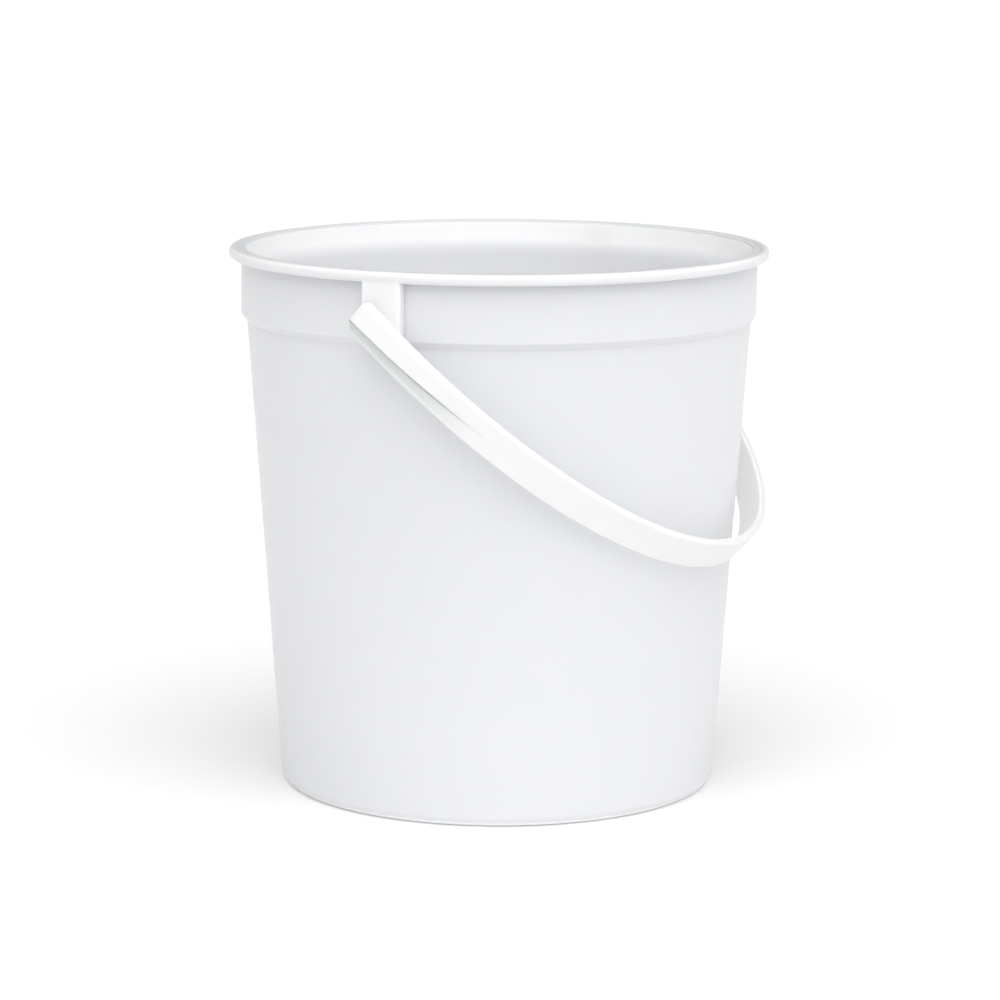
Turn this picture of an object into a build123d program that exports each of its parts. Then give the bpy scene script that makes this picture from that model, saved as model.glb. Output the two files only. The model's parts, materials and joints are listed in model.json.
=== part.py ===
from build123d import *
import os
from math import cos, radians, sin, sqrt, tan

os.makedirs("parts", exist_ok=True)

# A straight-tapered plastic pail with a ribbon bail handle that snaps into its ears, in mm.
# Origin: centre of the foot, on the plane that the pail stands on. +Z is up, X is the
# handle's hinge axis, and the handle hangs against the -Y side of the pail.

# Driving dimensions of the pail
rim_radius = 121.0  # outer edge of the rim
rim_height = 243.5  # top of the rim above the foot
base_radius = 98.3  # outer wall carried down to the foot plane
taper = 4.02  # wall's lean from upright, in degrees
wall = 1.9
band_radius = 115.6  # upright band under the rim
shoulder_low = 210.6  # where the tapered wall steps out to the band
shoulder_high = 213.8
rim_lip_low = 238.7  # lower edge of the rim's turned-down lip
rim_lip_thickness = 3.0
rim_crease_radius = 116.8  # shallow crease between the rim's inner land and its bead
rim_crease_depth = 0.7
rim_crease_slope = 1.2  # width of the crease's outer slope
rim_crease_side = 1.0  # width of its inner slope
rim_land_drop = 0.3  # the inner land lies this far below the bead's top
bore_edge_round = 0.7
base_corner = 5.0

# Roundings of the section's corners
shoulder_inner_round = 1.0
shoulder_outer_round = 1.2
lip_inner_round = 0.8
lip_bottom_round = 1.9
lip_top_round = 2.2
crease_round = 0.4

# Foot: a flat ring round a raised centre panel
foot_inner_radius = 84.0
panel_lift = 1.6
panel_slope = 1.0  # width kept clear inside the foot ring for the panel's sloping edge
floor_thickness = 2.3

# Ears: two thick pads on the band that carry the handle
ear_width = 18.0
ear_face = 120.8  # distance of the flat outer face from the pail's axis
ear_root = 110.0  # the pads reach in to here before the inside is cut out
pivot_height = 218.2

# Snap socket in each ear, a narrow mouth before a wider chamber
mouth_radius = 3.06
mouth_depth = 1.6
chamber_radius = 4.0
chamber_depth = 5.1

# Driving dimensions of the handle
handle_reach = 156.0  # hinge axis to the outside of the bow
handle_half_span = 127.1  # outside of the ribbon at the hinge axis
ribbon_thickness = 3.6
ribbon_width = 15.4
nose_length = 12.0  # ribbon past the hinge axis
nose_upper_corner = 3.0
nose_lower_corner = 5.0
edge_round = 1.1
hang_angle = 42.4  # bow below level when the handle hangs, in degrees

# Raised spine on the outside of each handle end
spine_height = 1.6
spine_end = 56.0  # distance along the handle where the spine and the channel have run out
spine_corner = 2.4
spine_inset = 0.6  # the spine stays this far inside the ribbon's upper edge and nose
ledge_at_nose = 4.3  # bare ribbon left below the spine
ledge_at_end = 7.5

# Shallow channel in the bare ribbon below each spine
channel_depth = 0.8
channel_lip = 1.2  # lip left along the ribbon's lower edge and round the nose

# Snap stud on the inside of each handle end
boss_radius = 5.6
shank_radius = 3.0
head_radius = 3.6
head_length = 2.4
head_barrel = 0.8  # straight part of the head before it tapers
tip_radius = 2.4
ear_gap = 0.4  # between the boss and the ear's face
snap_play = 0.3  # end play of the head in its chamber

clear = 5.0  # overshoot of cutting shapes past what they cut


def wall_radius(height):
    """Outer radius of the tapered wall at a height."""
    return base_radius + height * tan(radians(taper))


def nearest(points, place):
    """The corner of a section that lies at a place, given as radius and height."""
    return points.sort_by_distance(place)[0]


# ---- pail_body -----------------------------------------------------------------------

inner_offset = wall / cos(radians(taper))
panel_edge = foot_inner_radius - panel_lift
lip_inner_radius = rim_radius - rim_lip_thickness
flange_under = rim_height - wall
land_height = rim_height - rim_land_drop
bore_radius = band_radius - wall

outside = [
    (0, panel_lift),
    (panel_edge, panel_lift),
    (foot_inner_radius, 0),
    (base_radius, 0),
    (wall_radius(shoulder_low), shoulder_low),
    (band_radius, shoulder_high),
    (band_radius, flange_under),
    (lip_inner_radius, flange_under),
    (lip_inner_radius, rim_lip_low),
    (rim_radius, rim_lip_low),
    (rim_radius, rim_height),
    (rim_crease_radius + rim_crease_slope, rim_height),
    (rim_crease_radius, rim_height - rim_crease_depth),
    (rim_crease_radius - rim_crease_side, land_height),
    (0, land_height),
]
outside_rounds = [
    (outside[3], base_corner),
    (outside[4], shoulder_inner_round),
    (outside[5], shoulder_outer_round),
    (outside[7], lip_inner_round),
    (outside[8], lip_inner_round),
    (outside[9], lip_bottom_round),
    (outside[10], lip_top_round),
    (outside[12], crease_round),
]

inner_floor = floor_thickness
panel_top = panel_lift + floor_thickness
inner_base = base_radius - inner_offset + inner_floor * tan(radians(taper))
inner_step_low = shoulder_low + wall
inner_step_high = shoulder_high + wall
inside = [
    (0, panel_top),
    (panel_edge - panel_slope, panel_top),
    (foot_inner_radius - panel_slope, inner_floor),
    (inner_base, inner_floor),
    (wall_radius(inner_step_low) - inner_offset, inner_step_low),
    (bore_radius, inner_step_high),
    (bore_radius, rim_height),
    (0, rim_height),
]
inside_rounds = [
    (inside[3], base_corner - wall),
    (inside[4], shoulder_outer_round),
    (inside[5], shoulder_inner_round),
]

with BuildPart() as pail_body:
    with BuildSketch(Plane.XZ) as outer_section:
        with BuildLine():
            Polyline(*outside, close=True)
        make_face()
        for place, radius in outside_rounds:
            fillet(nearest(outer_section.vertices(), place), radius)
    revolve(axis=Axis.Z)

    # Ears: upright pads, round below the hinge, flush with the rim's edge
    for side in (1, -1):
        ear_plane = Plane(
            origin=(side * ear_root, 0, pivot_height), x_dir=(0, 1, 0), z_dir=(side, 0, 0)
        )
        with BuildSketch(ear_plane):
            Circle(ear_width / 2)
            pad_height = flange_under + wall / 2 - pivot_height
            with Locations((0, side * pad_height / 2)):  # the far ear's sketch is mirrored
                Rectangle(ear_width, pad_height)
        extrude(amount=ear_face - ear_root)

    # The inside, cut after the ears so that the bore of the pail stays smooth
    with BuildSketch(Plane.XZ) as inner_section:
        with BuildLine():
            Polyline(*inside, close=True)
        make_face()
        for place, radius in inside_rounds:
            fillet(nearest(inner_section.vertices(), place), radius)
    revolve(axis=Axis.Z, mode=Mode.SUBTRACT)

    # Soft edge where the rim's top meets the bore
    rim_edges = pail_body.edges().filter_by(GeomType.CIRCLE).filter_by_position(
        Axis.Z, land_height - 0.01, land_height + 0.01
    )
    fillet(rim_edges.sort_by(SortBy.RADIUS)[0], bore_edge_round)

    # Snap sockets on the hinge axis
    socket_section = [
        (ear_face + clear, 0),
        (ear_face + clear, mouth_radius),
        (ear_face - mouth_depth, mouth_radius),
        (ear_face - mouth_depth, chamber_radius),
        (ear_face - chamber_depth, chamber_radius),
        (ear_face - chamber_depth, 0),
    ]
    with BuildSketch(Plane.XZ.shift_origin((0, 0, pivot_height))):
        with BuildLine():
            Polyline(*socket_section, close=True)
        make_face()
        mirror(about=Plane.YZ)
    revolve(axis=Axis((0, 0, pivot_height), (1, 0, 0)), mode=Mode.SUBTRACT)

pail_body.part.label = "pail_body"
export_step(pail_body.part, "parts/pail_body.step")

# ---- bail_handle ---------------------------------------------------------------------

hang = radians(hang_angle)
bow = Vector(0, -cos(hang), -sin(hang))  # from the hinge towards the middle of the bow
hoop_normal = Vector(0, -sin(hang), cos(hang))
hoop = Plane(origin=(0, 0, pivot_height), x_dir=(-1, 0, 0), z_dir=hoop_normal)

inner_half_span = handle_half_span - ribbon_thickness
inner_reach = handle_reach - ribbon_thickness
core_half_span = handle_half_span - ribbon_thickness / 2
core_reach = handle_reach - ribbon_thickness / 2
spine_half_span = handle_half_span + spine_height
channel_half_span = handle_half_span - channel_depth
half_width = ribbon_width / 2


def reach_to_meet(half_span):
    """Half-axis of the ellipse that crosses the ribbon's outside where the spine ends."""
    handle_rise = 1 - (spine_end / handle_reach) ** 2
    return spine_end / sqrt(1 - handle_rise * (handle_half_span / half_span) ** 2)


def end_bars(low, high, foot):
    """Straight runs of the strip past the hinge axis, one at each end of the hoop."""
    with Locations((-(low + high) / 2, -foot / 2), ((low + high) / 2, -foot / 2)):
        Rectangle(high - low, foot)


def hoop_band(outer, inner, foot):
    """Half a hoop between two ellipses, with its straight ends."""
    Ellipse(*outer)
    Ellipse(*inner, mode=Mode.SUBTRACT)
    with Locations((0, -handle_reach)):
        Rectangle(4 * handle_reach, 2 * handle_reach, mode=Mode.SUBTRACT)
    end_bars(inner[0], outer[0], foot)


# Lines on the side view of the hoop, as (distance along the bow, distance above the middle)
side_view = Plane(origin=(0, 0, pivot_height), x_dir=bow, z_dir=(-1, 0, 0))
view_start = -nose_length - clear
view_end = spine_end + clear
border_start = (view_start, -half_width + ledge_at_nose)
border_end = (view_end, -half_width + ledge_at_end)
far_below = -half_width - clear

# The spines: a thin bow outside the ribbon, cut back to a slanting lower border
with BuildPart() as spines:
    with BuildSketch(hoop):
        spine_axes = (spine_half_span, reach_to_meet(spine_half_span))
        hoop_band(spine_axes, (core_half_span, core_reach), nose_length - spine_inset)
    extrude(amount=half_width - spine_inset, both=True)
    with BuildSketch(side_view):
        with BuildLine():
            Polyline(
                border_start, border_end, (view_end, far_below), (view_start, far_below), close=True
            )
        make_face()
    extrude(amount=2 * handle_half_span, both=True, mode=Mode.SUBTRACT)
    nose_edges = spines.edges().filter_by(Axis.X).group_by(Axis(hoop.origin, bow))[0]
    fillet(nose_edges, spine_corner)

# The channels: what is cut from the outside of the ribbon between its lower lip and the spine
with BuildPart() as channels:
    with BuildSketch(hoop):
        outer_axes = (spine_half_span + clear, handle_reach + clear)
        channel_axes = (channel_half_span, reach_to_meet(channel_half_span))
        hoop_band(outer_axes, channel_axes, nose_length - channel_lip)
    extrude(amount=half_width, both=True)
    with BuildSketch(side_view):
        with BuildLine():
            Polyline(
                border_start,
                border_end,
                (view_end, -half_width + channel_lip),
                (view_start, -half_width + channel_lip),
                close=True,
            )
        make_face()
    extrude(amount=2 * handle_half_span, both=True, mode=Mode.INTERSECT)

with BuildPart() as bail_handle:
    # Ribbon: half an ellipse, with a straight nose past each hinge pin
    with BuildSketch(hoop):
        ribbon_axes = (handle_half_span, handle_reach)
        hoop_band(ribbon_axes, (inner_half_span, inner_reach), nose_length)
    extrude(amount=half_width, both=True)
    across = Axis(hoop.origin, hoop_normal)
    nose_edges = bail_handle.edges().filter_by(Axis.X).group_by(across)
    fillet(nose_edges[0], nose_lower_corner)
    fillet(nose_edges[-1], nose_upper_corner)
    side_edges = bail_handle.edges().group_by(across)
    fillet(side_edges[0] + side_edges[-1], edge_round)
    add(channels.part, mode=Mode.SUBTRACT)
    add(spines.part)

    # Snap studs: boss, shank and tapered head on the hinge axis
    boss_face = ear_face + ear_gap
    head_back = ear_face - mouth_depth - snap_play
    stud_section = [
        (core_half_span, 0),
        (core_half_span, boss_radius),
        (boss_face, boss_radius),
        (boss_face, shank_radius),
        (head_back, shank_radius),
        (head_back, head_radius),
        (head_back - head_barrel, head_radius),
        (head_back - head_length, tip_radius),
        (head_back - head_length, 0),
    ]
    with BuildSketch(Plane.XZ.shift_origin((0, 0, pivot_height))):
        with BuildLine():
            Polyline(*stud_section, close=True)
        make_face()
        mirror(about=Plane.YZ)
    revolve(axis=Axis((0, 0, pivot_height), (1, 0, 0)))

bail_handle.part.label = "bail_handle"
export_step(bail_handle.part, "parts/bail_handle.step")
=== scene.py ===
import json
import math

import bmesh
import bpy
from mathutils import Matrix, Vector


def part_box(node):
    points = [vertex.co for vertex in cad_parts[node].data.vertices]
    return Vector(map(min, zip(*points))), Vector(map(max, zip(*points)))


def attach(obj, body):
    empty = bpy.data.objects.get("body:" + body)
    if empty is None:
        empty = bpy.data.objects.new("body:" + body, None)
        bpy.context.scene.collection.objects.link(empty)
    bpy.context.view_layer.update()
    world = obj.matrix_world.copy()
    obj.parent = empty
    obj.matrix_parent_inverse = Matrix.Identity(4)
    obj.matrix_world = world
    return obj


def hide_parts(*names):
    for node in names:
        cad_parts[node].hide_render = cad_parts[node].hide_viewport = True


# A translucent white plastic pail with an opaque white ribbon handle, on a pale floor in
# soft studio light. Lengths are in metres, in the CAD model's frame: the foot's centre is
# the origin, +Z is up, X is the handle's hinge axis and the bow hangs towards -Y.

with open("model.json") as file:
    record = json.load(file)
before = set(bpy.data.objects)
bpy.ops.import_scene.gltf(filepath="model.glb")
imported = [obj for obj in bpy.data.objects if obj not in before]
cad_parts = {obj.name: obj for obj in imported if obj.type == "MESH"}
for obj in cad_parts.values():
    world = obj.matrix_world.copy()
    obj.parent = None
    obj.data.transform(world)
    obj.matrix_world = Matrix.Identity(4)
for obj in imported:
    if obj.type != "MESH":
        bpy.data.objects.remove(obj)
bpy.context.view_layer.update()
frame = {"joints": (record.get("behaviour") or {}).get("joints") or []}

MM = 0.001

# ---- sizes from the frame ------------------------------------------------------------

pail_low, pail_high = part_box("pail_body")
handle_low, handle_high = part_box("bail_handle")
hinge = Vector(frame["joints"][0]["pos_m"])
rim_radius = pail_high.x
rim_height = pail_high.z
spine_face = handle_high.x

# ---- sizes of the pail ---------------------------------------------------------------

base_radius = 98.3 * MM
wall_slope = math.tan(math.radians(4.02))
wall = 1.9 * MM
band_radius = rim_radius - 5.4 * MM
shoulder_low = 210.6 * MM
shoulder_high = 213.8 * MM
lip_low = rim_height - 4.8 * MM
lip_inner_radius = rim_radius - 3.0 * MM
crease_radius = rim_radius - 4.2 * MM
crease_depth = 0.7 * MM
crease_slope = 1.2 * MM  # width of the crease's outer slope
crease_side = 1.0 * MM  # and of its inner slope
land_height = rim_height - 0.3 * MM
bore_radius = band_radius - wall
foot_inner_radius = 84.0 * MM
panel_lift = 1.6 * MM
panel_slope = 1.0 * MM  # the panel's sloping edge is set in by this much inside the pail
floor_thickness = 2.3 * MM
base_corner = 5.0 * MM
ear_half_width = 9.0 * MM
ear_edge = 1.4 * MM  # rounding round the flat face of an ear
ear_face = rim_radius - 0.2 * MM
ear_top = rim_height - 2.3 * MM
mouth_radius = 3.06 * MM
mouth_depth = 1.6 * MM
chamber_radius = 4.0 * MM
chamber_depth = 5.1 * MM

# ---- sizes of the handle -------------------------------------------------------------

hang = math.radians(42.4)
bow = Vector((0, -math.cos(hang), -math.sin(hang)))
across = Vector((0, -math.sin(hang), math.cos(hang)))
ribbon_width = 15.4 * MM
ribbon_thickness = 3.6 * MM
spine_height = 1.6 * MM
half_span = spine_face - spine_height - ribbon_thickness  # to the ribbon's inner face
reach = 156.0 * MM - ribbon_thickness
nose_length = 12.0 * MM
nose_upper_corner = 3.0 * MM
nose_lower_corner = 5.0 * MM
edge_round = 1.1 * MM
ledge_at_nose = 4.3 * MM  # bare ribbon below the spine at the nose
ledge_growth = 3.2 * MM  # and how much wider it is where the spine runs out
ledge_length = 68.0 * MM
channel_depth = 0.8 * MM
channel_lip = 1.2 * MM
spine_fall = (16 * MM, 66 * MM)  # distances from the nose between which the spine runs out
spine_tail = (66 * MM, 108 * MM)  # and between which the faint crease after it does
spine_tail_share = 0.16
boss_radius = 5.6 * MM
boss_edge = 0.4 * MM
shank_radius = 3.0 * MM
head_radius = 3.6 * MM
head_length = 2.4 * MM
head_barrel = 0.8 * MM
tip_radius = 2.4 * MM
tip_edge = 0.2 * MM
ear_gap = 0.4 * MM
snap_play = 0.3 * MM


# ---- colours -------------------------------------------------------------------------

pail_thin = (0.735, 0.738, 0.752)
pail_cloud = (0.725, 0.729, 0.746)
# painted light: the inside is painted whiter, standing in for light coming through the wall
pail_inside_painted_light = (0.988, 0.989, 0.993)
# painted light on the inside wall behind each ear
pail_behind_ear_painted_light = (0.995, 0.995, 0.99)
# painted shade: the inside is painted darker towards the mouth
pail_mouth_painted_shade = (0.958, 0.96, 0.967)
# painted light: the ears' faces are painted lighter for light scattered in the thick plastic
pail_ear_painted_light = (0.815, 0.817, 0.824)
# painted light: the solid lip is painted lighter for light scattered in the thick plastic
pail_thick_painted_light = (0.755, 0.757, 0.764)
# painted shade over the rim's top and its crease
pail_top_painted_shade = (0.58, 0.585, 0.595)
handle_white = (0.825, 0.83, 0.825)
handle_cloud = (0.818, 0.823, 0.818)
# painted light on the handle's inner face
handle_inside_painted_light = (0.995, 1.0, 0.995)
# painted shade in the channels below the spines
handle_channel_painted_shade = (0.66, 0.685, 0.665)
# a darker painted shade line under the spines' edges
handle_crease_painted_shade = (0.36, 0.38, 0.37)


# ---- mesh helpers --------------------------------------------------------------------


def new_object(name, vertices, faces):
    """A mesh object from lists of points and faces, with its normals facing out."""
    mesh = bpy.data.meshes.new(name)
    mesh.from_pydata(vertices, [], faces)
    tidy = bmesh.new()
    tidy.from_mesh(mesh)
    bmesh.ops.recalc_face_normals(tidy, faces=tidy.faces)
    tidy.to_mesh(mesh)
    tidy.free()
    piece = bpy.data.objects.new(name, mesh)
    bpy.context.scene.collection.objects.link(piece)
    return piece


def rounded(corners, arc_step=math.radians(9)):
    """A path of (radius, height) points with each (radius, height, rounding) corner rounded."""
    path = []
    for index, (x, y, rounding) in enumerate(corners):
        here = Vector((x, y))
        if rounding == 0 or index in (0, len(corners) - 1):
            path.append(here)
            continue
        back = (Vector(corners[index - 1][:2]) - here).normalized()
        ahead = (Vector(corners[index + 1][:2]) - here).normalized()
        half_angle = back.angle(ahead) / 2
        centre = here + (back + ahead).normalized() * (rounding / math.sin(half_angle))
        start = here + back * (rounding / math.tan(half_angle)) - centre
        end = here + ahead * (rounding / math.tan(half_angle)) - centre
        turn = math.pi - 2 * half_angle
        steps = max(2, math.ceil(turn / arc_step))
        for step in range(steps + 1):
            share = step / steps
            weight_a = math.sin((1 - share) * turn) / math.sin(turn)
            weight_b = math.sin(share * turn) / math.sin(turn)
            path.append(centre + start * weight_a + end * weight_b)
    return path


def divided(path, longest):
    """The path with extra points on its straight runs, so that no run is longer than that."""
    points = [path[0]]
    for last, here in zip(path, path[1:]):
        runs = max(1, math.ceil((here - last).length / longest))
        points += [last.lerp(here, run / runs) for run in range(1, runs + 1)]
    return points


def revolved(name, path, segments):
    """A closed solid from a path that starts and ends on the vertical axis."""
    vertices = [(0, 0, path[0].y)]
    for point in path[1:-1]:
        for segment in range(segments):
            angle = 2 * math.pi * segment / segments
            vertices.append((point.x * math.cos(angle), point.x * math.sin(angle), point.y))
    vertices.append((0, 0, path[-1].y))
    faces = []
    rings = len(path) - 2
    for segment in range(segments):
        after = (segment + 1) % segments
        faces.append((0, 1 + segment, 1 + after))
        last = 1 + (rings - 1) * segments
        faces.append((len(vertices) - 1, last + after, last + segment))
        for ring in range(rings - 1):
            low = 1 + ring * segments
            high = low + segments
            faces.append((low + segment, high + segment, high + after, low + after))
    return new_object(name, vertices, faces)


def turned(name, path, side, segments=64):
    """A small turned solid on the hinge axis, from (distance from the pail's axis, radius)."""
    piece = revolved(name, [Vector((radius, distance)) for distance, radius in path], segments)
    to_axis = Matrix(((0, 0, side), (0, side, 0), (-1, 0, 0))).to_4x4()
    piece.data.transform(Matrix.Translation(hinge) @ to_axis)
    piece.data.update()
    return piece


def joined(piece, other, operation):
    """Unites another solid with a piece, or cuts it out, and removes it."""
    change = piece.modifiers.new("join", "BOOLEAN")
    change.operation = operation
    change.solver = "EXACT"
    change.object = other
    bpy.context.view_layer.update()
    graph = bpy.context.evaluated_depsgraph_get()
    mesh = bpy.data.meshes.new_from_object(piece.evaluated_get(graph))
    piece.modifiers.clear()
    piece.data = mesh
    bpy.data.objects.remove(other)


def finish_mesh(piece, sharp_angle):
    """Merges doubled points, closes slits, and shades smoothly except over sharper edges."""
    tidy = bmesh.new()
    tidy.from_mesh(piece.data)
    bmesh.ops.remove_doubles(tidy, verts=tidy.verts, dist=0.002 * MM)
    open_edges = [edge for edge in tidy.edges if edge.is_boundary]
    bmesh.ops.holes_fill(tidy, edges=open_edges, sides=8)
    bmesh.ops.recalc_face_normals(tidy, faces=tidy.faces)
    tidy.to_mesh(piece.data)
    tidy.free()
    piece.data.polygons.foreach_set("use_smooth", [True] * len(piece.data.polygons))
    piece.data.set_sharp_from_angle(angle=math.radians(sharp_angle))
    weighted = piece.modifiers.new("weighted_normals", "WEIGHTED_NORMAL")
    weighted.keep_sharp = True


# ---- the pail ------------------------------------------------------------------------


def wall_radius(height):
    """Outer radius of the tapered wall at a height."""
    return base_radius + height * wall_slope


def pail_section():
    """The pail's section, up the outside, over the rim and down the inside."""
    slant = math.hypot(1, wall_slope)
    panel_edge = foot_inner_radius - panel_lift
    panel_top = panel_lift + floor_thickness
    flange_under = rim_height - wall
    inner_low = shoulder_low + wall
    inner_high = shoulder_high + wall
    corners = [
        (0, panel_lift, 0),
        (panel_edge, panel_lift, 1.2 * MM),
        (foot_inner_radius, 0, 0.8 * MM),
        (base_radius, 0, base_corner),
        (wall_radius(shoulder_low), shoulder_low, 1.0 * MM),
        (band_radius, shoulder_high, 1.2 * MM),
        (band_radius, flange_under, 0.8 * MM),
        (lip_inner_radius, flange_under, 0.8 * MM),
        (lip_inner_radius, lip_low, 0.8 * MM),
        (rim_radius, lip_low, 1.9 * MM),
        (rim_radius, rim_height, 2.2 * MM),
        (crease_radius + crease_slope, rim_height, 0.5 * MM),
        (crease_radius, rim_height - crease_depth, 0.4 * MM),
        (crease_radius - crease_side, land_height, 0.3 * MM),
        (bore_radius, land_height, 0.7 * MM),
        (bore_radius, inner_high, 1.0 * MM),
        (wall_radius(inner_low) - wall * slant, inner_low, 1.2 * MM),
        (wall_radius(floor_thickness) - wall * slant, floor_thickness, base_corner - wall),
        (foot_inner_radius - panel_slope, floor_thickness, 1.0 * MM),
        (panel_edge - panel_slope, panel_top, 1.0 * MM),
        (0, panel_top, 0),
    ]
    return divided(rounded(corners), 8 * MM)


def wall_middle(height):
    """Radius of the middle of the wall at a height, over the step as well."""
    low, high = shoulder_low + wall / 2, shoulder_high + wall / 2
    share = min(1, max(0, (height - low) / (high - low)))
    tapered = wall_radius(min(height, low)) - wall / 2
    return tapered + share * (band_radius - wall / 2 - tapered)


def ear_outline(inset, steps=32):
    """(sideways, height) points round an ear: a round bottom about the hinge, an upright top."""
    half = ear_half_width - inset
    top = ear_top - inset
    points = []
    for step in range(steps + 1):
        angle = math.pi + math.pi * step / steps
        points.append((half * math.cos(angle), hinge.z + half * math.sin(angle)))
    rise = top - hinge.z
    points += [(half, hinge.z + rise * share / 6) for share in range(1, 7)]
    points += [(half - 2 * half * share / 6, top) for share in range(1, 6)]
    points += [(-half, top - rise * share / 6) for share in range(6)]
    return points


def ear(side):
    """One ear pad, from inside the wall out to its flat face with rounded edges."""
    levels = [(None, 0), (ear_face - ear_edge, 0)]
    for step in range(1, 6):
        angle = math.pi / 2 * step / 5
        out = ear_face - ear_edge + ear_edge * math.sin(angle)
        levels.append((out, ear_edge * (1 - math.cos(angle))))
    vertices = []
    for distance, inset in levels:
        for sideways, height in ear_outline(inset):
            out = distance or math.sqrt(wall_middle(height) ** 2 - sideways**2)
            vertices.append((side * out, sideways, height))
    count = len(ear_outline(0))
    faces = []
    for level in range(len(levels) - 1):
        for index in range(count):
            after = (index + 1) % count
            low, high = level * count, (level + 1) * count
            faces.append((low + index, low + after, high + after, high + index))
    for centre_out, first in ((wall_middle(hinge.z), 0), (ear_face, (len(levels) - 1) * count)):
        vertices.append((side * centre_out, 0, hinge.z))
        for index in range(count):
            faces.append((len(vertices) - 1, first + index, first + (index + 1) % count))
    return new_object("ear", vertices, faces)


def socket(side):
    """The blind snap socket in an ear: a narrow mouth and a wider chamber."""
    path = [
        (ear_face - chamber_depth, 0),
        (ear_face - chamber_depth, chamber_radius),
        (ear_face - mouth_depth, chamber_radius),
        (ear_face - mouth_depth, mouth_radius),
        (ear_face + 1 * MM, mouth_radius),
        (ear_face + 1 * MM, 0),
    ]
    return turned("socket", path, side)


def make_pail():
    """The pail moulding with its two ears."""
    pail = revolved("pail", pail_section(), 240)
    for side in (1, -1):
        joined(pail, ear(side), "UNION")
        joined(pail, socket(side), "DIFFERENCE")
    pail.name = pail.data.name = "pail_shell"
    finish_mesh(pail, 32)
    return pail


# ---- the handle ----------------------------------------------------------------------


def smooth(low, high, value):
    """0 below low, 1 above high and an even S between."""
    share = min(1, max(0, (value - low) / (high - low)))
    return share * share * (3 - 2 * share)


def hoop_stations():
    """(inner point, outward direction, distance from the nearer nose) along the hoop."""
    stations = []
    near_nose = [0, 0.12, 0.3, 0.5, 0.62, 0.7, 0.78, 0.9, 1.1]
    near_nose += [1.4, 1.8, 2.3, 3, 3.8, 4.8, 6, 7.5, 9.2]
    for from_nose in near_nose:
        along = from_nose * MM - nose_length
        stations.append((Vector((half_span, along)), Vector((1, 0)), from_nose * MM))
    steps = 220
    travelled = 0
    last = Vector((half_span, 0))
    for step in range(steps // 2 + 1):
        angle = math.pi * step / steps
        place = Vector((half_span * math.cos(angle), reach * math.sin(angle)))
        normal = Vector((reach * math.cos(angle), half_span * math.sin(angle))).normalized()
        travelled += (place - last).length
        last = place
        stations.append((place, normal, travelled + nose_length))
    mirrored = [
        (Vector((-place.x, place.y)), Vector((-normal.x, normal.y)), distance)
        for place, normal, distance in reversed(stations[:-1])
    ]
    return stations + mirrored


def spine_rise(distance):
    """Height of the raised spine at a distance from the nose."""
    steep = smooth(0.45 * MM, 0.95 * MM, distance)
    gentle = smooth(0.8 * MM, 2.6 * MM, distance)
    start = steep * 0.75 + gentle * 0.25
    fall = 1 - smooth(*spine_fall, distance)
    tail = spine_tail_share * (1 - smooth(*spine_tail, distance))
    return spine_height * start * (fall * (1 - tail) + tail)


def channel_drop(distance):
    """Depth of the shallow channel below the spine at a distance from the nose."""
    start = smooth(channel_lip - 0.2 * MM, channel_lip + 0.5 * MM, distance)
    fall = 1 - (max(0, distance - nose_length) / (ledge_length - nose_length)) ** 2
    return channel_depth * start * max(0, fall)


def nose_edge(corner, distance):
    """Half-width of the ribbon at a distance from the nose, with that corner rounding."""
    gap = max(0, corner - distance)
    return ribbon_width / 2 - corner + math.sqrt(corner**2 - gap**2)


def ribbon_section(distance):
    """The ribbon's closed outline at a station, as (across, out) points, lower edge first."""
    low = -nose_edge(nose_lower_corner, distance)
    high = nose_edge(nose_upper_corner, distance)
    rise = spine_rise(distance)
    drop = channel_drop(distance)
    border = ledge_at_nose + ledge_growth * min(1, distance / ledge_length) - ribbon_width / 2
    border = max(border, low + 0.6 * MM)
    soft = 1 + 14 * smooth(40 * MM, 100 * MM, distance)
    bend = edge_round
    points = []
    corner_steps = 5
    for step in range(corner_steps + 1):  # lower inner corner
        angle = math.pi / 2 * step / corner_steps
        points.append((low + bend * (1 - math.sin(angle)), bend * (1 - math.cos(angle))))
    for step in range(corner_steps + 1):  # lower outer corner
        angle = math.pi / 2 * step / corner_steps
        out = ribbon_thickness - bend * (1 - math.sin(angle))
        points.append((low + bend * (1 - math.cos(angle)), out))
    wall_steps = [(-0.06, 0.0), (0.0, 0.3), (0.08, 0.6), (0.22, 0.8), (0.45, 0.92)]
    wall_steps += [(0.8, 0.985), (1.2, 1.0)]  # (share of the room above the border, of the rise)
    floor_steps = [(0, 0.15), (0.06, 0.6), (0.12, 0.9), (0.2, 1), (0.45, 1), (0.75, 1), (0.95, 1)]
    room = min(soft * MM, max(0.05 * MM, (high - bend - border) / 1.6))
    ledge_low = low + bend
    ledge = max(0.05 * MM, border - 0.06 * room - ledge_low)
    lip = min(0.5, (channel_lip - bend) / ledge)
    for share, depth in floor_steps:
        place = ledge_low + ledge * (lip + (1 - lip) * share)
        points.append((place, ribbon_thickness - drop * depth))
    for offset, share in wall_steps:
        out = ribbon_thickness - drop + (rise + drop) * share
        points.append((border + offset * room, out))
    face_low, face_high = border + 1.2 * room, high - bend
    for share in (0.2, 0.4, 0.6, 0.8):
        points.append((face_low + (face_high - face_low) * share, ribbon_thickness + rise))
    for step in range(corner_steps + 1):  # upper outer corner
        angle = math.pi / 2 * step / corner_steps
        out = ribbon_thickness + rise - bend * (1 - math.cos(angle))
        points.append((high - bend + bend * math.sin(angle), out))
    for step in range(corner_steps + 1):  # upper inner corner
        angle = math.pi / 2 * step / corner_steps
        points.append((high - bend * (1 - math.cos(angle)), bend * (1 - math.sin(angle))))
    inner_low, inner_high = low + bend, high - bend
    points += [(inner_high + (inner_low - inner_high) * share, 0) for share in (0.25, 0.5, 0.75)]
    return points


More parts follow.
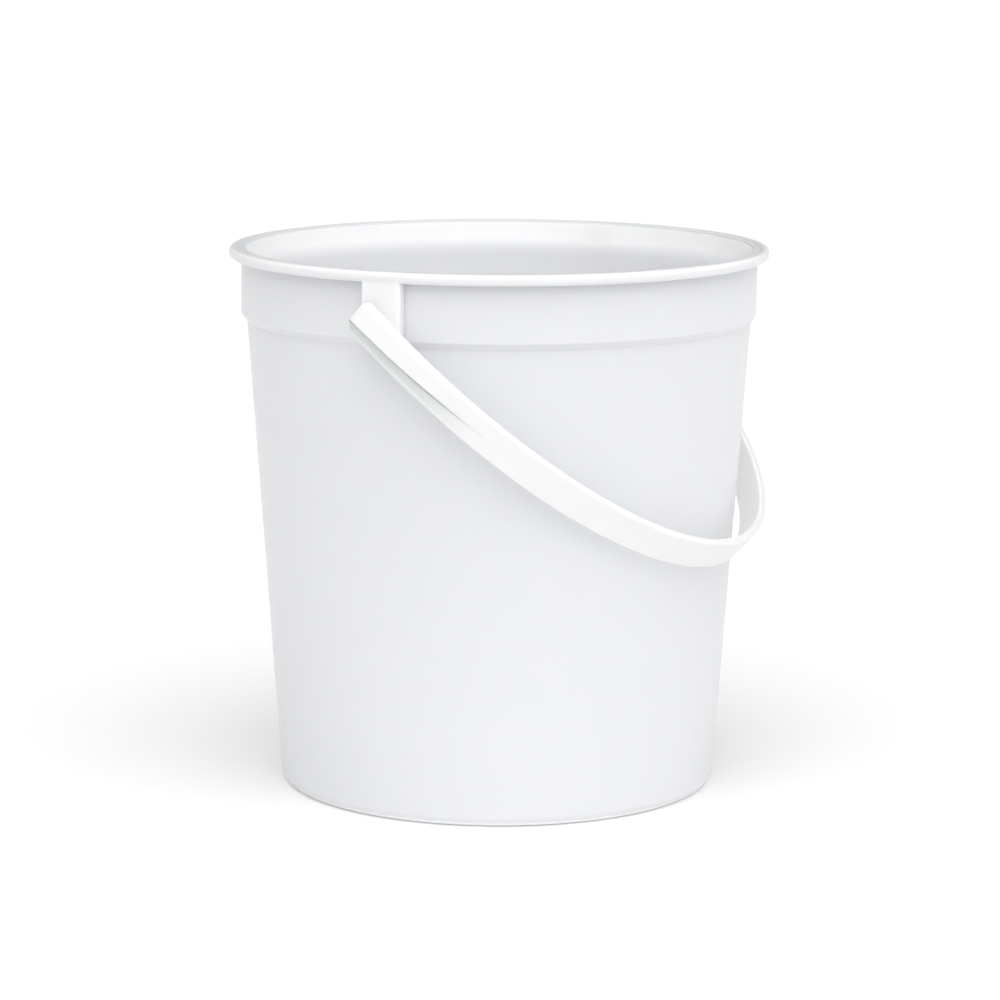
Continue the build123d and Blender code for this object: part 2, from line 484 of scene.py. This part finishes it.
def stud(side):
    """The snap stud inside a handle end: boss, shank and tapered head."""
    boss_face = ear_face + ear_gap
    head_back = ear_face - mouth_depth - snap_play
    root = half_span + ribbon_thickness / 2
    path = [
        (head_back - head_length, 0),
        (head_back - head_length, tip_radius - tip_edge),
        (head_back - head_length + tip_edge, tip_radius),
        (head_back - head_barrel, head_radius),
        (head_back, head_radius),
        (head_back, shank_radius),
        (boss_face, shank_radius),
        (boss_face, boss_radius - boss_edge),
        (boss_face + boss_edge, boss_radius),
        (root, boss_radius),
        (root, 0),
    ]
    return turned("stud", path, side)


def make_handle():
    """The ribbon handle with its spines and studs."""
    vertices, faces = [], []
    stations = hoop_stations()
    for place, normal, distance in stations:
        for along_width, out in ribbon_section(distance):
            flat = place + normal * out
            vertices.append(hinge + Vector((flat.x, 0, 0)) + bow * flat.y + across * along_width)
    count = len(ribbon_section(0.1))
    for station in range(len(stations) - 1):
        low, high = station * count, (station + 1) * count
        for index in range(count):
            after = (index + 1) % count
            faces.append((low + index, low + after, high + after, high + index))
    for first in (0, (len(stations) - 1) * count):
        centre = sum((vertices[first + index] for index in range(count)), Vector()) / count
        vertices.append(centre)
        for index in range(count):
            faces.append((len(vertices) - 1, first + index, first + (index + 1) % count))
    handle = new_object("handle", vertices, faces)
    for side in (1, -1):
        joined(handle, stud(side), "UNION")
    handle.name = handle.data.name = "handle_ribbon"
    finish_mesh(handle, 35)
    return handle


# ---- materials -----------------------------------------------------------------------


class Nodes:
    """A material's nodes, with short ways to add them and link them up."""

    def __init__(self, name):
        self.material = bpy.data.materials.new(name)
        self.material.use_nodes = True
        self.tree = self.material.node_tree
        self.shader = self.tree.nodes["Principled BSDF"]
        self.place = self.add("ShaderNodeTexCoord").outputs["Object"]

    def add(self, kind, **settings):
        node = self.tree.nodes.new(kind)
        for setting, value in settings.items():
            setattr(node, setting, value)
        return node

    def feed(self, socket, value):
        if isinstance(value, bpy.types.NodeSocket):
            self.tree.links.new(value, socket)
        else:
            socket.default_value = value

    def noise(self, scale, detail):
        """Cloudy noise from 0 to 1, with so many clouds to the metre."""
        node = self.add("ShaderNodeTexNoise")
        self.feed(node.inputs["Vector"], self.place)
        node.inputs["Scale"].default_value = scale
        node.inputs["Detail"].default_value = detail
        return node.outputs["Fac"]

    def math(self, operation, *values):
        node = self.add("ShaderNodeMath", operation=operation)
        for socket, value in zip(node.inputs, values):
            self.feed(socket, value)
        return node.outputs["Value"]

    def along(self, vector, direction):
        """How far a vector goes in a direction."""
        node = self.add("ShaderNodeVectorMath", operation="DOT_PRODUCT")
        self.feed(node.inputs[0], vector)
        self.feed(node.inputs[1], direction)
        return node.outputs["Value"]

    def spread(self, value, low, high, to_low, to_high, kind="SMOOTHSTEP"):
        """The value carried from the range low to high into the range to_low to to_high."""
        node = self.add("ShaderNodeMapRange", interpolation_type=kind)
        for socket, given in zip(node.inputs, (value, low, high, to_low, to_high)):
            self.feed(socket, given)
        return node.outputs["Result"]

    def blend(self, share, first, second):
        """The first colour, turning into the second as the share goes from 0 to 1."""
        node = self.add("ShaderNodeMix", data_type="RGBA")
        self.feed(node.inputs["Factor"], share)
        self.feed(node.inputs["A"], first if not isinstance(first, tuple) else (*first, 1))
        self.feed(node.inputs["B"], second if not isinstance(second, tuple) else (*second, 1))
        return node.outputs["Result"]


def moulded(nodes, colour, roughness, grain):
    """The finish both plastics share: uneven gloss, fine grain and faint flow waves."""
    shader = nodes.shader
    nodes.feed(shader.inputs["Base Color"], colour)
    gloss = nodes.spread(nodes.noise(60, 3), 0.3, 0.7, roughness * 0.93, roughness * 1.07)
    nodes.feed(shader.inputs["Roughness"], gloss)
    height = nodes.math("MULTIPLY_ADD", nodes.noise(14, 2), 6.0, nodes.noise(900, 2))
    bump = nodes.add("ShaderNodeBump")
    bump.inputs["Strength"].default_value = 0.25
    bump.inputs["Distance"].default_value = grain
    nodes.feed(bump.inputs["Height"], height)
    nodes.feed(shader.inputs["Normal"], bump.outputs["Normal"])
    shader.inputs["Subsurface Scale"].default_value = 1
    return nodes.material


def pail_plastic():
    """Milky translucent plastic, greyer outside where it is one wall thick, with light painted
    into its colour: painted light whitens the inside, the wall behind each ear, the solid lip
    and the ears, and painted shade darkens the inside near the mouth and the rim's top."""
    nodes = Nodes("natural_polyethylene")
    parts = nodes.add("ShaderNodeSeparateXYZ")
    nodes.feed(parts.inputs["Vector"], nodes.place)
    x, y, z = parts.outputs
    squares = nodes.math("ADD", nodes.math("MULTIPLY", x, x), nodes.math("MULTIPLY", y, y))
    radius = nodes.math("SQRT", squares)
    middle = nodes.math("MULTIPLY_ADD", z, wall_slope, base_radius - wall / 2)
    outside = nodes.math("SUBTRACT", radius, middle)
    # inner marks the inside face of the wall, which is painted whiter (painted light)
    inner = nodes.spread(outside, -0.4 * MM, 0.4 * MM, 1.0, 0.0)
    # solid marks the lip ring, painted lighter as painted light
    solid = nodes.spread(radius, band_radius + 0.2 * MM, lip_inner_radius, 0.0, 1.0)
    # The inside wall behind each ear gets painted light, as if light came through the thick ear.
    ear_width = nodes.spread(nodes.math("ABSOLUTE", y), 8 * MM, 12 * MM, 1.0, 0.0)
    ear_rise = nodes.spread(z, 202 * MM, 214 * MM, 0.0, 1.0)
    behind_ear_painted_light = nodes.math("MULTIPLY", ear_width, ear_rise)
    # The ears' faces below the lip are painted lighter: painted light for light scattered in the
    # thick plastic.
    ear_low, ear_high = band_radius + 0.3 * MM, band_radius + 1.5 * MM
    ear_front = nodes.spread(nodes.math("ABSOLUTE", x), ear_low, ear_high, 0.0, 1.0)
    below_lip = nodes.spread(z, lip_low - 1 * MM, lip_low + 1 * MM, 1.0, 0.0)
    # Painted shade over the rim's top and its crease.
    brow = nodes.spread(z, rim_height - 1.5 * MM, rim_height - 0.6 * MM, 0.0, 1.0)
    flat = nodes.spread(radius, rim_radius - 1.8 * MM, rim_radius - 0.8 * MM, 1.0, 0.0)
    top = nodes.math("MULTIPLY", brow, flat)

    clouds = nodes.spread(nodes.noise(9, 4), 0.3, 0.7, 0.0, 1.0)
    thin = nodes.blend(clouds, pail_thin, pail_cloud)
    # Painted shade: the inside is painted darker towards the mouth, evening out the overhead
    # light that falls there.
    mouth = nodes.spread(z, shoulder_low - 2 * MM, shoulder_high + 6 * MM, 0.0, 1.0)
    white = nodes.blend(mouth, pail_inside_painted_light, pail_mouth_painted_shade)
    white = nodes.blend(behind_ear_painted_light, white, pail_behind_ear_painted_light)
    walls = nodes.blend(inner, thin, white)
    lip = nodes.blend(solid, walls, pail_thick_painted_light)
    lip = nodes.blend(nodes.math("MULTIPLY", ear_front, below_lip), lip, pail_ear_painted_light)
    colour = nodes.blend(top, lip, pail_top_painted_shade)
    nodes.shader.inputs["Subsurface Weight"].default_value = 1
    nodes.shader.inputs["Subsurface Radius"].default_value = (0.0015, 0.0016, 0.0017)
    nodes.shader.inputs["Specular IOR Level"].default_value = 0.3
    return moulded(nodes, colour, roughness=0.33, grain=0.02 * MM)


def handle_plastic():
    """Opaque white plastic with a soft gloss, with painted shade in the channels below the
    spines, a darker painted shade line under each spine's edge and painted light on the hoop's
    inner face.
    """
    nodes = Nodes("white_polypropylene")
    start = nodes.add("ShaderNodeVectorMath", operation="SUBTRACT")
    nodes.feed(start.inputs[0], nodes.place)
    nodes.feed(start.inputs[1], hinge)
    from_hinge = start.outputs["Vector"]
    sideways = nodes.along(from_hinge, Vector((1, 0, 0)))
    along = nodes.along(from_hinge, bow)
    height = nodes.along(from_hinge, across)
    hoop_x = nodes.math("DIVIDE", sideways, half_span + ribbon_thickness / 2)
    hoop_y = nodes.math("DIVIDE", nodes.math("MAXIMUM", along, 0.0), reach + ribbon_thickness / 2)
    square = nodes.math("MULTIPLY", hoop_x, hoop_x)
    size = nodes.math("SQRT", nodes.math("MULTIPLY_ADD", hoop_y, hoop_y, square))
    outer = nodes.spread(size, 1.003, 1.008, 0.0, 1.0)
    # inner marks the hoop's inner face, which gets painted light
    inner = nodes.spread(size, 0.988, 0.992, 1.0, 0.0)
    # Painted shade in the channel on the outer face below the spine's border, fading out near the
    # ribbon's lower edge and along the ribbon towards the bow.
    slope = ledge_growth / ledge_length
    border = nodes.math(
        "MULTIPLY_ADD", along, slope, ledge_at_nose + slope * nose_length - ribbon_width / 2
    )
    below = nodes.math("SUBTRACT", border, height)
    under = nodes.spread(below, -0.1 * MM, 0.15 * MM, 0.0, 1.0)
    low = -ribbon_width / 2
    lower = nodes.spread(height, low + 0.3 * MM, low + 1.3 * MM, 0.25, 1.0)
    ends = nodes.spread(along, 26 * MM, 66 * MM, 1.0, 0.0)
    outer_end = nodes.math("MULTIPLY", outer, ends)
    ledge = nodes.math("MULTIPLY", nodes.math("MULTIPLY", under, lower), outer_end)
    # A darker painted shade line just under the spine's border.
    beyond = nodes.spread(below, 0.4 * MM, 1.1 * MM, 1.0, 0.0)
    crease = nodes.math("MULTIPLY", ledge, beyond)

    clouds = nodes.spread(nodes.noise(9, 4), 0.3, 0.7, 0.0, 1.0)
    white = nodes.blend(clouds, handle_white, handle_cloud)
    white = nodes.blend(inner, white, handle_inside_painted_light)
    white = nodes.blend(ledge, white, handle_channel_painted_shade)
    white = nodes.blend(crease, white, handle_crease_painted_shade)
    nodes.shader.inputs["Subsurface Weight"].default_value = 0.4
    nodes.shader.inputs["Subsurface Radius"].default_value = (0.001, 0.001, 0.001)
    return moulded(nodes, white, roughness=0.31, grain=0.02 * MM)


def floor_material():
    """A plain white floor with a faint, soft shine."""
    material = bpy.data.materials.new("studio_floor")
    material.use_nodes = True
    nodes, links = material.node_tree.nodes, material.node_tree.links
    matt = nodes.new("ShaderNodeBsdfDiffuse")
    matt.inputs["Color"].default_value = (*floor_grey, 1)
    shine = nodes.new("ShaderNodeBsdfGlossy")
    shine.inputs["Roughness"].default_value = 0.1
    mix = nodes.new("ShaderNodeMixShader")
    mix.inputs["Fac"].default_value = 0.05
    glow = nodes.new("ShaderNodeEmission")
    glow.inputs["Strength"].default_value = floor_glow
    both = nodes.new("ShaderNodeAddShader")
    links.new(matt.outputs["BSDF"], mix.inputs[1])
    links.new(shine.outputs["BSDF"], mix.inputs[2])
    links.new(mix.outputs["Shader"], both.inputs[0])
    links.new(glow.outputs["Emission"], both.inputs[1])
    links.new(both.outputs["Shader"], nodes["Material Output"].inputs["Surface"])
    return material


# ---- studio --------------------------------------------------------------------------

key_direction = (-0.552, -0.834, 0)  # towards the front right of the scene's camera
dark_side = 0.332
bright_side = 0.885
overhead_direction = (-0.341, -0.155, 0.927)  # above, leaning towards the camera
overhead_edge = 0.6  # cosine of the angle from its middle at which the overhead light starts
overhead = 2.4
camera_azimuth = math.radians(24.5)  # from the left-hand ear towards the hanging bow
camera_distance = 6.838 * 2 * rim_radius
camera_height = 1.7312 * 2 * rim_radius
camera_pitch = math.radians(-9.996)
camera_yaw = 0.0005
camera_roll = 0.0047
lens_widths = 3.7005  # focal length, in widths of the sensor
floor_grey = (0.74, 0.74, 0.74)
floor_glow = 0.14


def make_floor():
    size = 12
    corners = [(-size, -size, 0), (size, -size, 0), (size, size, 0), (-size, size, 0)]
    floor = new_object("studio_floor", corners, [(0, 1, 2, 3)])
    floor.data.materials.append(floor_material())


def make_world():
    """Soft white light: brightest overhead, fading from the front right round to the left."""
    world = bpy.data.worlds.new("studio")
    bpy.context.scene.world = world
    world.use_nodes = True
    nodes, links = world.node_tree.nodes, world.node_tree.links
    nodes["Background"].inputs["Color"].default_value = (1, 1, 1, 1)
    place = nodes.new("ShaderNodeTexCoord")

    key = nodes.new("ShaderNodeVectorMath")
    key.operation = "DOT_PRODUCT"
    key.inputs[1].default_value = key_direction
    links.new(place.outputs["Generated"], key.inputs[0])
    sides = nodes.new("ShaderNodeMapRange")
    sides.interpolation_type = "SMOOTHSTEP"
    sides.inputs["From Min"].default_value = -0.4
    sides.inputs["From Max"].default_value = 1
    sides.inputs["To Min"].default_value = dark_side
    sides.inputs["To Max"].default_value = bright_side
    links.new(key.outputs["Value"], sides.inputs["Value"])

    above = nodes.new("ShaderNodeVectorMath")
    above.operation = "DOT_PRODUCT"
    above.inputs[1].default_value = overhead_direction
    links.new(place.outputs["Generated"], above.inputs[0])
    top = nodes.new("ShaderNodeMapRange")
    top.interpolation_type = "SMOOTHSTEP"
    top.inputs["From Min"].default_value = overhead_edge
    top.inputs["From Max"].default_value = 1
    top.inputs["To Min"].default_value = 0
    top.inputs["To Max"].default_value = overhead
    links.new(above.outputs["Value"], top.inputs["Value"])

    both = nodes.new("ShaderNodeMath")
    both.operation = "ADD"
    links.new(sides.outputs["Result"], both.inputs[0])
    links.new(top.outputs["Result"], both.inputs[1])
    links.new(both.outputs["Value"], nodes["Background"].inputs["Strength"])


def make_camera():
    """A long lens facing the left-hand ear and the hanging bow, looking ten degrees down."""
    toward = Vector((-math.cos(camera_azimuth), -math.sin(camera_azimuth), 0))
    camera = bpy.data.cameras.new("camera")
    camera.sensor_width = 36
    camera.lens = lens_widths * camera.sensor_width
    camera.clip_end = 60
    holder = bpy.data.objects.new("camera", camera)
    holder.location = toward * camera_distance + Vector((0, 0, camera_height))
    heading = math.atan2(-toward.x, toward.y) + math.pi
    turn = Matrix.Rotation(heading - camera_yaw, 4, "Z")
    tilt = Matrix.Rotation(math.pi / 2 + camera_pitch, 4, "X")
    roll = Matrix.Rotation(camera_roll, 4, "Z")
    holder.matrix_world = Matrix.Translation(holder.location) @ turn @ tilt @ roll
    bpy.context.scene.collection.objects.link(holder)
    bpy.context.scene.camera = holder


# ---- assembly ------------------------------------------------------------------------

make_camera()

pail = make_pail()
pail.data.materials.clear()
pail.data.materials.append(pail_plastic())
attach(pail, "pail")
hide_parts("pail_body")

handle = make_handle()
handle.data.materials.clear()
handle.data.materials.append(handle_plastic())
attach(handle, "handle")
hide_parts("bail_handle")

make_floor()
make_world()
view_settings = bpy.context.scene.view_settings
view_settings.view_transform = "Standard"
